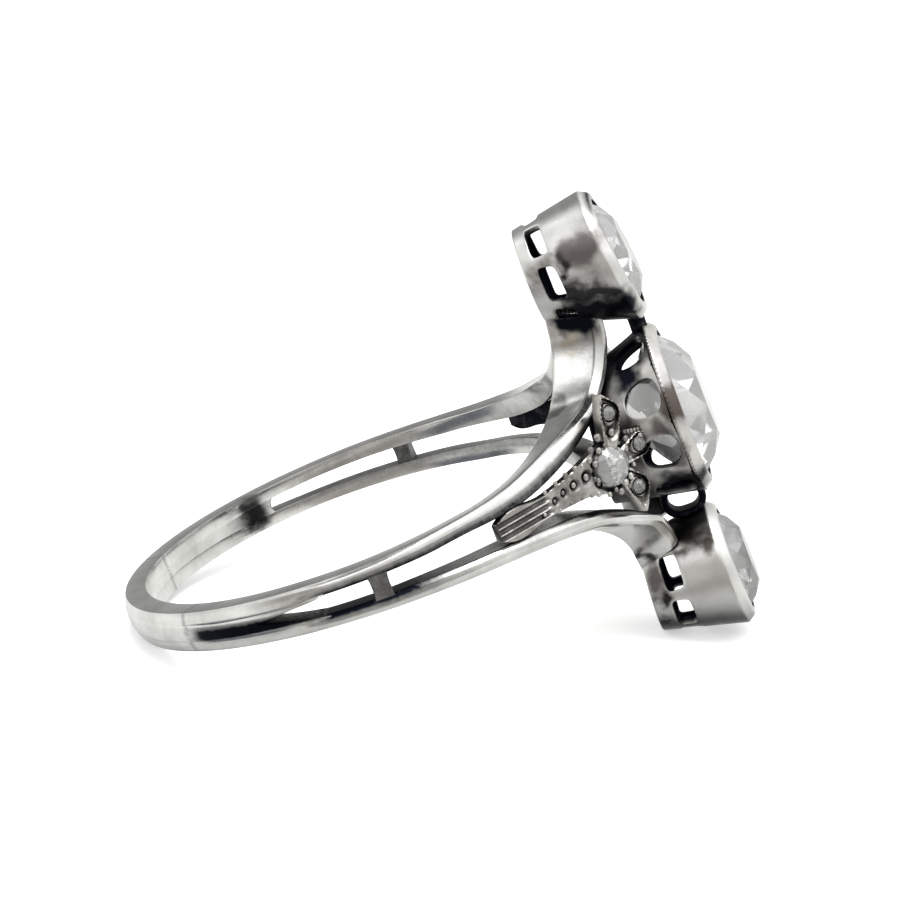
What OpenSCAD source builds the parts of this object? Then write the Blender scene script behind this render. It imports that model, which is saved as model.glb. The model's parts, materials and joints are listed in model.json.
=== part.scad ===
// Three-stone diamond ring of soldered wire, worn with its stones along the finger.
// All sizes are in millimetres.
// The ring is drawn on its own axes: x runs from the middle of the finger to the head,
// y across the finger and z along it. at_rest() then lays it on its side.

/* [Band] */
// Inside diameter of the band
finger_d = 17; // [16.8:0.1:17.2]
// Thickness of the band, from the finger outwards
band_t = 1; // [0.9:0.05:1.1]
// Width of the closed band at the back of the finger
band_w = 1.5; // [1.4:0.05:1.6]
// Length of a cross bar around the finger
bar_l = 0.7; // [0.5:0.1:0.9]
// How much higher the far wires and far shoulder lie along the finger, at the head
far_lift = 0.45; // [0:0.05:0.5]

/* [End collets] */
// Wall thickness of a collet
wall_t = 0.3; // [0.25:0.05:0.35]
// Windows round the foot of an end collet
windows = 7; // [6:1:8]
// Length of a window, round the collet
window_l = 1.2; // [0.8:0.05:1.25]
// Height of a window, along the collet's axis
window_h = 0.65; // [0.5:0.05:0.8]

/* [Centre collet] */
// Diameter of the rim
centre_rim_d = 6.7; // [6.6:0.02:6.8]
// Diameter of the foot ring
centre_foot_d = 4.9; // [4.6:0.1:5.2]
// Arches round the gallery
arches = 9; // [7:1:9]
// Width of an arch
arch_w = 1.55; // [1.2:0.05:1.6]
// Height of an arch
arch_h = 1.4; // [1.2:0.05:1.6]

/* [Shoulders] */
// Angle from the head at which a shoulder plate lies along the band
shoulder_angle = 50; // [49:1:51]
// Distance of a shoulder plate's face from the middle of the finger
shoulder_r = 9.6; // [9.55:0.05:9.7]
// Thickness of a shoulder plate
shoulder_t = 0.75; // [0.65:0.05:0.8]
// Diameter of the shoulder's round stone
rose_d = 1.5; // [1.3:0.02:1.52]
// Diameter of a leaf's small stone
leaf_stone_d = 0.56; // [0.5:0.02:0.6]

/* [Stones] */
// Clearance between a stone and its metal
stone_gap = 0.05; // [0.04:0.01:0.07]
// Width of a stone's table, as a share of its diameter
table_share = 0.54; // [0.4:0.02:0.6]

/* [Hidden] */

metal = [0.76, 0.76, 0.74];
diamond = [0.84, 0.88, 0.9];

finger_r = finger_d / 2;
back_r = finger_r + band_t;
half_w = band_w / 2;
// How far one solid runs into the next where they are soldered, and past what it cuts
bite = 0.1;
past = 0.5;
// Thickness of the thin slices between which a tapered shape is drawn
slice = 0.01;

// Columns of the two wire tables, a row for each section from the back to the head:
// angle from the head, gap from the finger to the wire's inner edge, height of that edge above
// the closed band's side, depth of the wire outwards in band thicknesses, height of its outer
// edge above the inner one, thickness
UPPER_WIRE = [
    [180,  0,    0,    1,    0,    0.55],
    [150,  0,    0,    1,    0,    0.55],
    [125,  0,    0.03, 1,    0,    0.5],
    [105,  0,    0.09, 1,    0,    0.5],
    [ 95,  0,    0.13, 1,    0,    0.52],
    [ 82,  0,    0.17, 1,    0.02, 0.55],
    [ 70,  0,    0.23, 1,    0.06, 0.6],
    [ 60,  0,    0.29, 1.02, 0.12, 0.62],
    [ 52,  0,    0.33, 1.05, 0.18, 0.64],
    [ 45,  0,    0.42, 1.1,  0.22, 0.66],
    [ 38,  0,    0.58, 1.2,  0.3,  0.68],
    [ 31,  0,    0.81, 1.4,  0.34, 0.7],
    [ 25,  0,    1.03, 1.6,  0.3,  0.7],
    [ 19,  0.05, 1.3,  1.8,  0.2,  0.68],
    [ 14,  0.2,  1.7,  1.85, 0,    0.62],
    [ 10.5, 0.45, 2.35, 1.85, -0.3, 0.58],
    [  8,  0.6,  3,    1.95, -0.4, 0.55],
    [  6.5, 0.7,  3.6,  2.05, -0.4, 0.55],
    [  6,  0.8,  4.6,  2.05, -0.2, 0.55]
];
LOWER_WIRE = [
    [180,  0,    0,    1,    0,    0.55],
    [150,  0,    0,    1,    0,    0.55],
    [125,  0,    0.02, 1,    0,    0.5],
    [105,  0,    0.06, 1,    0,    0.5],
    [ 95,  0,    0.1,  1,    0,    0.52],
    [ 82,  0,    0.15, 1,    0.02, 0.55],
    [ 70,  0,    0.21, 1,    0.05, 0.6],
    [ 60,  0,    0.27, 1.02, 0.1,  0.62],
    [ 52,  0,    0.33, 1.05, 0.15, 0.64],
    [ 45,  0,    0.42, 1.1,  0.2,  0.66],
    [ 38,  0,    0.55, 1.18, 0.25, 0.68],
    [ 31,  0.05, 0.75, 1.3,  0.28, 0.7],
    [ 25,  0.15, 1.05, 1.4,  0.25, 0.7],
    [ 20,  0.45, 1.5,  1.4,  0.1,  0.68],
    [ 17.5, 0.8,  1.85, 1.4,  -0.1, 0.65],
    [ 15,  1.1,  2.35, 1.45, -0.4, 0.6],
    [ 12,  1.2,  3,    1.6,  -0.7, 0.58],
    [  9.5, 1.15, 3.6,  1.7,  -0.75, 0.55],
    [  8,  1.15, 4.1,  1.7,  -0.6, 0.55]
];
// Corners of a wire's section: share of its depth outwards, share of its thickness inwards
WIRE_SECTION = [[0, 0], [0.8, 0], [0.94, 0.2], [1, 0.5], [0.94, 0.8], [0.8, 1], [0, 1]];
// The most that two neighbouring sections are apart round the finger
section_step = 8;

// Columns of a side: angles from the head to the closed end of its slot and to its cross bar,
// how much higher it lies at the head, where its tongue starts along the shoulder plate.
// The far side's angles are counted the other way round the finger
NEAR_SIDE = [105, 81, 0, -0.45];
FAR_SIDE = [120, 82.7, far_lift, 0.3];
// The angles between which the far side rises
lift_start = 62;
lift_end = 24;
// The metal between two wires: its width, and how far it lies below their faces
web_w = band_w - 0.5;
web_inset = 0.02;
bar_inset = 0.1;

// Columns of a collet: x and z of the middle of its rim, rim diameter, lean of the rim, x and z
// of the middle of its foot, foot diameter, lean of the foot, height of the ring below the
// windows, turn of the windows, height of the stone's crown
TOP_COLLET = [12.25, 6.7, 5.3, 8.5, 9.17, 6.9, 3.65, 2.2, 0.53, 16, 0.75];
LOW_COLLET = [12.6, -5.97, 4.92, 2.5, 9.55, -5.9, 3.65, -2, 0.68, 41, 0.92];
CENTRE_COLLET = [12.7, 0.47, centre_rim_d, 2, 9.5, 0.1, centre_foot_d, -3, 1.6, 3, 1.2];
// Height of the lip that holds a stone down, and how far it leans in
lip_h = 0.35;
lip_in = 0.25;
// Where the crown's upper facets start: share of the crown's height, share of the stone's width
crown_bend = [0.58, 0.87];

// The pin under the top stone: distance from the finger's middle, height of its ends, diameter
PIN = [12.4, 3.5, 4.25, 0.64];
// The loop over the low stone: distance from the finger's middle, height of its middle, how much
// longer than wide it is, width outside and inside, thickness
LOOP = [11.85, -2.98, 0.3, 1.45, 0.9, 0.9];
// An arch's width at its foot, as a share of its full width
arch_foot = 0.72;

// Columns of a shoulder's leaves: place of the small stone along the plate and along the finger,
// place of the leaf's tip
LEAF_UP = [5.85, 1.88, 5.65, 2.6];
LEAF_DOWN = [5.9, -1.08, 5.85, -1.98];
LEAF_IN = [6.55, 0.34, 7.3, 0.44];
LEAVES = [LEAF_UP, LEAF_DOWN, LEAF_IN];
// Place of the round stone on the same plate
rose_at = [5.1, 0.1];
// Outline of the plate, from its tongue to its round setting: place along it, its upper edge and
// its lower edge
PLATE = [[1.9, 0.43, -0.41], [2.8, 0.55, -0.44], [3.75, 0.75, -0.52], [4.4, 0.92, -0.72],
    [4.95, 0.95, -0.8]];
tongue_half = 0.41;
// Metal round the round stone and round a leaf's stone, and how far the round setting stands up
rose_rim = 0.24;
leaf_rim = 0.18;
rose_collar_h = 0.12;
// Width of a leaf's tip and of its neck towards the round stone, and where the neck lies
leaf_tip_d = 0.16;
leaf_neck_d = 0.7;
leaf_neck = 0.5;
// Flutes on the tongue, and depth of the seats for the round stone and for the small ones
flutes = 3;
flute_w = 0.12;
flute_t = 0.14;
flute_end = 2;
seat_t = 0.32;
leaf_seat_t = 0.2;

// Facets of a round stone: thickness of the girdle, then depth and width of the pavilion's two
// rings, as shares of the stone's width
girdle_t = 0.07;
PAVILION = [[0.2, 0.56], [0.33, 0.08]];
// A rose-cut stone: height above the plate, depth below it, height and width where its facets
// bend, width of its small table
rose_h = 0.5;
leaf_stone_h = 0.2;
rose_base = 0.28;
leaf_stone_base = 0.16;
rose_bend = [0.6, 0.72];
rose_table = 0.36;

// Lean of the ring where it lies on its side: it touches with the back of its band and with
// the foot of its low collet
low_foot = [LOW_COLLET[4] + LOW_COLLET[6] / 2 * sin(LOW_COLLET[7]),
    LOW_COLLET[5] - LOW_COLLET[6] / 2 * cos(LOW_COLLET[7])];
back_foot = [-finger_r - WIRE_SECTION[1][0] * band_t, -half_w];
rest_lean = atan((back_foot[1] - low_foot[1]) / (low_foot[0] - back_foot[0]));
function rest_x(p) = p[0] * cos(rest_lean) - p[1] * sin(rest_lean);
function rest_z(p) = p[0] * sin(rest_lean) + p[1] * cos(rest_lean);
rest_lift = -rest_z(low_foot);
// Its length then runs from the back of the band to the table of the low stone
back_end = [-back_r, half_w - UPPER_WIRE[0][5] / 2];
table_r = stone_d(LOW_COLLET) * table_share / 2;
low_end = [LOW_COLLET[0] + LOW_COLLET[10] * cos(LOW_COLLET[3]) + table_r * sin(LOW_COLLET[3]),
    LOW_COLLET[1] + LOW_COLLET[10] * sin(LOW_COLLET[3]) - table_r * cos(LOW_COLLET[3])];
rest_middle = (rest_x(back_end) + rest_x(low_end)) / 2;

module at_rest() {
    translate([-rest_middle, 0, rest_lift]) rotate([0, -rest_lean, 0]) children();
}

function unit(v) = v / norm(v);
function around(angle, r, z) = [r * cos(angle), -r * sin(angle), z];
function lift_share(angle) = max(0, min(1, (lift_start - angle) / (lift_start - lift_end)));

// A wire's rows with more sections between them, raised towards the head by its side's lift
function drawn_out(rows, lift) = [
    for (i = [0:len(rows) - 1])
        let (a = rows[i], b = rows[min(i + 1, len(rows) - 1)],
            parts = max(1, ceil((a[0] - b[0]) / section_step)))
        for (k = [0:parts - 1]) let (row = a + (b - a) * k / parts)
            row + [0, 0, lift * lift_share(row[0]), 0, 0, 0]
];
function inner_edge(row) = around(row[0], finger_r + row[1], half_w + row[2]);
function outer_edge(row) = around(row[0], finger_r + row[1] + row[3] * band_t,
    half_w + row[2] + row[4]);
function heading(rows, i) = inner_edge(rows[min(i + 1, len(rows) - 1)])
    - inner_edge(rows[max(i - 1, 0)]);
function wire_ring(rows, i) =
    let (row = rows[i], start = inner_edge(row), out = outer_edge(row) - start,
        across = unit(cross(heading(rows, i), out)) * row[5])
    [for (c = WIRE_SECTION) start + c[0] * out + c[1] * across];

// One wire, from the far side of the head round the back to its near side, carried through the
// sections of its table. The upper wire rises by the sides' lifts, and the lower one, which is
// drawn upside down, falls by them
module wire(table, rise) {
    far = drawn_out(table, rise * FAR_SIDE[2]);
    rows = concat([for (i = [len(far) - 1:-1:1]) far[i] + [360 - 2 * far[i][0], 0, 0, 0, 0, 0]],
        drawn_out(table, rise * NEAR_SIDE[2]));
    sides = len(WIRE_SECTION);
    last = len(rows) - 1;
    points = [for (i = [0:last]) each wire_ring(rows, i)];
    walls = [for (i = [0:last - 1], j = [0:sides - 1]) let (k = (j + 1) % sides)
        [i * sides + k, i * sides + j, (i + 1) * sides + j, (i + 1) * sides + k]];
    ends = [[for (j = [0:sides - 1]) j], [for (j = [sides - 1:-1:0]) last * sides + j]];
    polyhedron(points, concat(walls, ends), convexity = 6);
}

// The piece of band between two angles from the head
module band_arc(from, to, width, inset) {
    rotate(-to) rotate_extrude(angle = to - from, $fn = 100)
        translate([finger_r + inset, -width / 2]) square([band_t - 2 * inset, width]);
}

// What joins the two wires: the closed back, rounded out where the slots end, and the cross bars
module webs() {
    slot_w = 2 * (half_w + UPPER_WIRE[3][2] - UPPER_WIRE[3][5]);
    half_bar = asin(bar_l / 2 / finger_r);
    difference() {
        band_arc(NEAR_SIDE[0], 360 - FAR_SIDE[0], web_w, web_inset);
        for (end = [NEAR_SIDE[0], 360 - FAR_SIDE[0]]) rotate(-end) translate([finger_r - past, 0, 0])
            rotate([0, 90, 0]) cylinder(h = band_t + 2 * past, d = slot_w, $fn = 24);
    }
    for (bar = [NEAR_SIDE[1], 360 - FAR_SIDE[1]])
        band_arc(bar - half_bar, bar + half_bar, web_w, bar_inset);
}

// Thin discs across a collet, at its foot and at its rim
module foot_disc(c, up, d) {
    translate([c[4], 0, c[5]]) rotate([0, 90 - c[7], 0])
        translate([0, 0, up]) cylinder(h = slice, d = d, $fn = 48);
}
module rim_disc(c, up, d) {
    translate([c[0], 0, c[1]]) rotate([0, 90 - c[3], 0])
        translate([0, 0, up]) cylinder(h = slice, d = d, $fn = 48);
}

// Width of the stone that a collet holds, and of its crown at a height above the girdle
function stone_d(c) = c[2] - 2 * (wall_t + stone_gap);
function crown_d(c, z) = stone_d(c) * (1 - (1 - crown_bend[1]) * z / (crown_bend[0] * c[10]));

// The space inside a collet's wall, which narrows again over the stone
module collet_hollow(c, wall) {
    top = lip_h + bite;
    hull() {
        foot_disc(c, -past, c[6] - 2 * wall);
        rim_disc(c, 0, c[2] - 2 * wall);
        rim_disc(c, top, crown_d(c, top) + 2 * stone_gap);
    }
}

// A collet's tapered wall without its windows
module collet_shell(c) {
    difference() {
        hull() {
            foot_disc(c, 0, c[6]);
            rim_disc(c, 0, c[2]);
            rim_disc(c, lip_h, c[2] - 2 * lip_in);
        }
        collet_hollow(c, wall_t);
    }
}

// A collet for an end stone, with a row of windows between its foot ring and its wall
module end_collet(c) {
    difference() {
        collet_shell(c);
        for (k = [0:windows - 1])
            translate([c[4] + c[8], 0, c[5]]) rotate([c[9] + (k + 0.5) * 360 / windows, 0, 0])
                translate([0, -window_l / 2, 0]) cube([window_h, window_l, c[2]]);
    }
}

// The outline of one arch of the gallery, lying along its height
module arch_outline() {
    hull() {
        translate([arch_w * arch_foot / 2, 0]) circle(d = arch_w * arch_foot, $fn = 20);
        translate([arch_h - arch_w / 2, 0]) circle(d = arch_w, $fn = 24);
    }
}

// The collet of the centre stone, on an arched gallery
module centre_collet(c) {
    difference() {
        collet_shell(c);
        for (k = [0:arches - 1])
            translate([c[4] + c[8], 0, c[5]]) rotate([c[9] + (k + 0.5) * 360 / arches, 0, 0])
                linear_extrude(c[2]) arch_outline();
    }
}

// The outline of an oval as long as reach beyond its width
module oval(reach, d) {
    hull() for (end = [-1, 1]) translate([end * reach / 2, 0]) circle(d = d, $fn = 24);
}

// A pin joins the centre collet to the top one, and a loop of thick wire to the low one
module links() {
    translate([PIN[0], 0, PIN[1]]) cylinder(h = PIN[2] - PIN[1], d = PIN[3], $fn = 20);
    translate([LOOP[0], 0, LOOP[1]]) rotate([90, 0, 0]) linear_extrude(LOOP[5], center = true)
        difference() {
            oval(LOOP[2], LOOP[3]);
            oval(LOOP[2], LOOP[4]);
        }
}

// Puts a flat outline or a stone on the face of the near shoulder plate
module on_shoulder() {
    rotate([90, 0, 90 - shoulder_angle]) translate([0, 0, shoulder_r]) children();
}

// The outline of a leaf round its small stone
module leaf_outline(leaf) {
    hull() {
        translate([leaf[0], leaf[1]]) circle(d = leaf_stone_d + 2 * leaf_rim, $fn = 24);
        translate([leaf[2], leaf[3]]) circle(d = leaf_tip_d, $fn = 10);
        translate(rose_at + ([leaf[0], leaf[1]] - rose_at) * leaf_neck)
            circle(d = leaf_neck_d, $fn = 16);
    }
}

// The outline of the plate behind its leaves, from where its tongue starts
module plate_outline(start) {
    tongue = [[start, tongue_half - 0.08], [start + 0.15, tongue_half]];
    polygon(concat(tongue, [for (p = PLATE) [p[0], p[1]]],
        [for (i = [len(PLATE) - 1:-1:0]) [PLATE[i][0], PLATE[i][2]]],
        [for (i = [1, 0]) [tongue[i][0], -tongue[i][1]]]));
}

// The seats of a shoulder's three small stones
module leaf_seats() {
    for (leaf = LEAVES) translate([leaf[0], leaf[1], -leaf_seat_t])
        cylinder(h = past, d = leaf_stone_d + 2 * stone_gap, $fn = 20);
}

// One shoulder: a fluted tongue, a round setting and three leaves, with seats for the stones
module shoulder(start) {
    on_shoulder() difference() {
        union() {
            translate([0, 0, -shoulder_t]) linear_extrude(shoulder_t) {
                plate_outline(start);
                for (leaf = LEAVES) leaf_outline(leaf);
            }
            translate([rose_at[0], rose_at[1], -shoulder_t])
                cylinder(h = shoulder_t + rose_collar_h, d = rose_d + 2 * rose_rim, $fn = 40);
        }
        for (k = [0:flutes - 1])
            translate([start - past, (k - (flutes - 1) / 2) * 2 * flute_w - flute_w / 2, -flute_t])
                cube([flute_end - start + past, flute_w, past]);
        translate([rose_at[0], rose_at[1], -seat_t])
            cylinder(h = past + seat_t, d = rose_d + 2 * stone_gap, $fn = 40);
        leaf_seats();
    }
}

// Mirrors a near piece to the far side, where it lies higher
module far_side() {
    translate([0, 0, FAR_SIDE[2]]) mirror([0, 1, 0]) children();
}

// All the soldered metal: what is soldered to a collet ends inside its wall. The leaves beside the
// centre collet have their stones' seats cut into its wall too
module mount() {
    color(metal) at_rest() {
        difference() {
            union() {
                wire(UPPER_WIRE, 1);
                mirror([0, 0, 1]) wire(LOWER_WIRE, -1);
                webs();
                shoulder(NEAR_SIDE[3]);
                far_side() shoulder(FAR_SIDE[3]);
                links();
            }
            for (c = [TOP_COLLET, LOW_COLLET, CENTRE_COLLET]) collet_hollow(c, wall_t / 2);
        }
        end_collet(TOP_COLLET);
        end_collet(LOW_COLLET);
        difference() {
            centre_collet(CENTRE_COLLET);
            on_shoulder() leaf_seats();
            far_side() on_shoulder() leaf_seats();
        }
    }
}

// The corners of a stone's facets at one height, and the solid whose corners they all are
function facet_ring(z, d, sides, turn) = [
    for (k = [0:sides - 1]) let (a = turn + k * 360 / sides) [d / 2 * cos(a), d / 2 * sin(a), z]
];
module facetted(corners) {
    hull() polyhedron(corners, [[for (i = [0:len(corners) - 1]) i]]);
}

// An old-cut round diamond in its collet, with its girdle at the rim
module set_stone(c) {
    d = stone_d(c);
    crown = c[10];
    half_facet = 22.5;
    color(diamond) at_rest() translate([c[0], 0, c[1]]) rotate([0, 90 - c[3], 0]) facetted(concat(
        facet_ring(crown, d * table_share, 8, 0),
        facet_ring(crown * crown_bend[0], d * crown_bend[1], 8, half_facet),
        facet_ring(0, d, 16, 0),
        facet_ring(-girdle_t, d, 16, 0),
        facet_ring(-d * PAVILION[0][0], d * PAVILION[0][1], 8, half_facet),
        facet_ring(-d * PAVILION[1][0], d * PAVILION[1][1], 8, 0)));
}

// A rose-cut diamond on a shoulder: flat below, with a small table above its facets
module rose_cut(place, d, height, base) {
    on_shoulder() translate([place[0], place[1], 0]) facetted(concat(
        facet_ring(-base, d, 12, 0),
        facet_ring(0, d, 12, 0),
        facet_ring(height * rose_bend[0], d * rose_bend[1], 6, 0),
        facet_ring(height, d * rose_table, 6, 30)));
}
module stone_top() { set_stone(TOP_COLLET); }
module stone_centre() { set_stone(CENTRE_COLLET); }
module stone_low() { set_stone(LOW_COLLET); }
module rose_near() { color(diamond) at_rest() rose_cut(rose_at, rose_d, rose_h, rose_base); }
module rose_far() { color(diamond) at_rest() far_side() rose_cut(rose_at, rose_d, rose_h, rose_base); }
module leaf_stone(leaf) { rose_cut(leaf, leaf_stone_d, leaf_stone_h, leaf_stone_base); }
module leaf_near(leaf) { color(diamond) at_rest() leaf_stone(leaf); }
module leaf_far(leaf) { color(diamond) at_rest() far_side() leaf_stone(leaf); }

mount();
stone_top();
stone_centre();
stone_low();
rose_near();
rose_far();
leaf_near(LEAF_UP);  // leaf_near_up
leaf_near(LEAF_DOWN);  // leaf_near_down
leaf_near(LEAF_IN);  // leaf_near_in
leaf_far(LEAF_UP);  // leaf_far_up
leaf_far(LEAF_DOWN);  // leaf_far_down
leaf_far(LEAF_IN);  // leaf_far_in
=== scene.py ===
import json

import bmesh
import bpy
import numpy as np
from mathutils import Matrix


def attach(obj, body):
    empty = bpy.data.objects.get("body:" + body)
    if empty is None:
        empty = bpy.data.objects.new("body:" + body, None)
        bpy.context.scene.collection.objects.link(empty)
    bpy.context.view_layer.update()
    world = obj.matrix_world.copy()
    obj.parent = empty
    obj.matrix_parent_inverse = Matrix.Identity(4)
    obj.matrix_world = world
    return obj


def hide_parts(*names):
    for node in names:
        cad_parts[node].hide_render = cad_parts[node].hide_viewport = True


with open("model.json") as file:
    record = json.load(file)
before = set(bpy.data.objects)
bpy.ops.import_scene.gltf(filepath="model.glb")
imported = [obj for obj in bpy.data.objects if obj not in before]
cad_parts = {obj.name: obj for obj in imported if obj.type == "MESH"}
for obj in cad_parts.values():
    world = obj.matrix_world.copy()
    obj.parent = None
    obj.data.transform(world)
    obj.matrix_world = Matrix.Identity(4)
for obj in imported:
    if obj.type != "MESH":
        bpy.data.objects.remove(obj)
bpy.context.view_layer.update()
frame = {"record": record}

# Finger hole
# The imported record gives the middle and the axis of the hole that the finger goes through. Every
# size below is in millimetres on the ring's own axes: towards the head, across the finger, and
# along the finger.
hole = frame["record"]["mounts"][0]
HOLE_MIDDLE = np.array(hole["pos_m"])
ALONG = np.array(hole["axis"])
RING_AXES = np.array([[ALONG[2], 0, -ALONG[0]], [0, 1, 0], ALONG])
FINGER_R = hole["dims"]["r_mm"]
BAND_HALF = hole["dims"]["length_mm"] / 2
BAND_T = 1.0
FAR_LIFT = 0.45


def placed(points):
    """Metres in the frame: the middle of the hole, plus each of the three sizes along its own axis."""
    return HOLE_MIDDLE + 0.001 * np.asarray(points, float) @ RING_AXES


# End collets
# Each end stone sits in a tapered collet that was turned up from platinum sheet, soldered, and
# sawn out into a row of windows above its foot ring. Its top edge was then rubbed over the stone,
# which leaves a bright narrow lip.
WALL = 0.3
LIP = (0.35, 0.25)
LIP_EDGE = 0.02
STONE_GAP = 0.05
BEVEL = 0.045
CELL_SIDE = 14
CROWN_BEND = (0.58, 0.87)
FOOT_ROUNDING, LIP_ROUNDING = 0.08, 0.1
# The painted shade inside the wall grows between two depths in it, and ends between two shares of its
# height.
WALL_SHADE = (0.05, 0.15)
UNSHADED_LIP = (0.98, 0.93)
# The reach of the painted shade in hollows and the stains' edges are in metres, as the shaders
# count. A stain ends at the first share of its radius and is full at the second, each with a little
# more for its rags.
WIDE_SHADE_REACH, FINE_SHADE_REACH = 0.0028, 0.0005
FINE_HIDDEN = (0.15, 0.6)
STAIN_BEND = 0.0015
STAIN_RAGS = 0.0004
STAIN_EDGE = ((0.0013, 0.0002), (0.0006, 0.0001))
BRIGHT = (0.86, 0.855, 0.835, 1)
GREY = (0.62, 0.62, 0.6, 1)
NAVY_SHADE_AND_DIRT = (0.008, 0.0095, 0.016, 1)
MAUVE = (0.2, 0.18, 0.175, 1)
BROWN = (0.13, 0.11, 0.098, 1)
DARK_PATCH = (0.045, 0.043, 0.045, 1)
SOLDER = (0.60, 0.56, 0.47, 1)
PAINTED_SHADE_GREY = (0.3, 0.3, 0.29, 1)
# Foot and rim are circles, given by how far out and how high their middles lie, their width and
# their lean. The base is solid metal, each opening above it is so long and so high, margin is how
# far its cell reaches past it, turn is where the first cell starts, and crown is the stone's height.
TOP_COLLET = dict(foot=(9.17, 6.9), foot_d=3.65, foot_lean=2.2, rim=(12.25, 6.7), rim_d=5.3,
                  rim_lean=8.5, base=0.53, opening=(1.36, 0.68), margin=0.2, narrow=1, squareness=5,
                  count=7, turn=16, crown=0.75)
LOW_COLLET = dict(foot=(9.55, -5.9), foot_d=3.65, foot_lean=-2, rim=(12.6, -5.97), rim_d=4.92,
                  rim_lean=2.5, base=0.68, opening=(1.36, 0.7), margin=0.2, narrow=1, squareness=5,
                  count=7, turn=41, crown=0.92)


def between(value, start, end):
    """How far a value has come from the start to the end: 0 up to the one, and 1 past the other."""
    return np.clip((value - start) / (end - start), 0, 1)


def turns(count):
    """Angles spaced evenly round a whole turn."""
    return np.arange(count) * 2 * np.pi / count


def collet_point(c, angle, height, inside):
    """A point of a collet's wall. Straight lines join a circle at the foot to one at the rim, each
    leaning its own way, and go on along the rim's axis above it. The angle is counted from along
    the finger towards the near side, the height from the foot, and inside is the depth from the
    outer face."""
    angle, height, inside = np.broadcast_arrays(angle, height, inside)
    tall = c["rim"][0] - c["foot"][0]
    share = np.minimum(height / tall, 1)[..., None]
    rings = []
    for middle, width, lean in ((c["foot"], c["foot_d"], c["foot_lean"]),
                                (c["rim"], c["rim_d"], c["rim_lean"])):
        tilt = np.radians(lean)
        upward = np.array([-np.sin(tilt), 0, np.cos(tilt)])
        spoke = np.cos(angle)[..., None] * upward - np.sin(angle)[..., None] * np.array([0, 1, 0])
        rings.append(np.array([middle[0], 0, middle[1]]) + (width / 2 - inside)[..., None] * spoke)
    axis = np.array([np.cos(tilt), 0, np.sin(tilt)])
    return (1 - share) * rings[0] + share * rings[1] + np.maximum(height - tall, 0)[..., None] * axis


def rounded(corners, radius, steps=4, closed=True):
    """An outline with its corners rounded: each gives way to a piece of a parabola, which leaves the
    two sides at the radius from the corner, or nearly half a short side away."""
    corners = np.asarray(corners, float)
    legs = [np.roll(corners, turn, axis=0) - corners for turn in (1, -1)]
    lengths = [np.linalg.norm(leg, axis=1, keepdims=True) for leg in legs]
    start, end = (corners + leg * np.minimum(radius / length, 0.45)
                  for leg, length in zip(legs, lengths))
    t = np.linspace(0, 1, steps)[None, :, None]
    curve = (1 - t) ** 2 * start[:, None] + 2 * t * (1 - t) * corners[:, None] + t ** 2 * end[:, None]
    curve = curve.reshape(-1, corners.shape[1])
    return curve if closed else np.concatenate([corners[:1], curve[steps:-steps], corners[-1:]])


def outward(points, faces):
    """A closed skin with its faces turned outwards: where the pyramids from the origin to all of its
    triangles add up to a negative volume, every face is read backwards."""
    fans = np.array([(face[0], a, b) for face in faces for a, b in zip(face[1:], face[2:])])
    a, b, c = (points[fans[:, i]] for i in range(3))
    if (a * np.cross(b, c)).sum() < 0:
        faces = [face[::-1] for face in faces]
    return points, faces


def skin(points, closed_rows=False, capped=False):
    """A grid of points as a surface: four-sided faces between neighbours, the last column joined to
    the first, and the two end rows joined to each other, left open, or each closed by a flat face."""
    rows, columns = points.shape[:2]
    here = np.arange(rows if closed_rows else rows - 1)[:, None] * columns
    below = (here + columns) % (rows * columns)
    column = np.arange(columns)[None]
    beside = (column + 1) % columns
    faces = np.stack([here + column, here + beside, below + beside, below + column], -1)
    faces = faces.reshape(-1, 4).tolist()
    if capped:
        faces += [list(range(columns))[::-1], list(range((rows - 1) * columns, rows * columns))]
    points = points.reshape(-1, 3)
    return outward(points, faces) if closed_rows or capped else (points, faces)


def together(skins):
    """Several skins as one list of points and one of faces."""
    starts = np.cumsum([0] + [len(points) for points, _ in skins])
    return np.concatenate([points for points, _ in skins]), [
        [i + start for i in face] for (_, faces), start in zip(skins, starts) for face in faces]


def welded(skins):
    """Open skins that share their edges as one closed skin: the shared points are merged, and the
    faces turned to agree."""
    points, faces = together(skins)
    _, first, place = np.unique(np.round(points, 5), axis=0, return_index=True, return_inverse=True)
    mesh = bpy.data.meshes.new("weld")
    mesh.from_pydata(points[first].tolist(), [], place.ravel()[np.array(faces)].tolist())
    shape = bmesh.new()
    shape.from_mesh(mesh)
    bmesh.ops.recalc_face_normals(shape, faces=shape.faces)
    faces = [[corner.index for corner in face.verts] for face in shape.faces]
    shape.free()
    bpy.data.meshes.remove(mesh)
    return outward(points[first], faces)


def in_scene(name, data):
    """A new object in the scene, which shows a mesh, a lamp or a camera."""
    thing = bpy.data.objects.new(name, data)
    bpy.context.scene.collection.objects.link(thing)
    return thing


def made(name, skins, finish, nodes, crease=38, grime_and_shade=0):
    """One piece from several closed skins, with its edges kept sharp where they turn by more than the
    crease's degrees. The grime value says how black it is painted, from 0 to 1, all over or at each
    point: mostly painted shade in hollows, under things and between parts, with a painted reflection
    on the closed back and dark dirt along the seams."""
    points, faces = together(skins)
    mesh = bpy.data.meshes.new(name)
    mesh.from_pydata(placed(points).tolist(), [], faces)
    darkness = mesh.attributes.new("grime_and_shade", "FLOAT", "POINT")
    darkness.data.foreach_set("value", np.broadcast_to(grime_and_shade, len(points)).astype(np.float32))
    mesh.shade_smooth()
    mesh.set_sharp_from_angle(angle=np.radians(crease))
    mesh.materials.append(finish)
    piece = in_scene(name, mesh)
    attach(piece, "root")
    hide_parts(*nodes)


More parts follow.
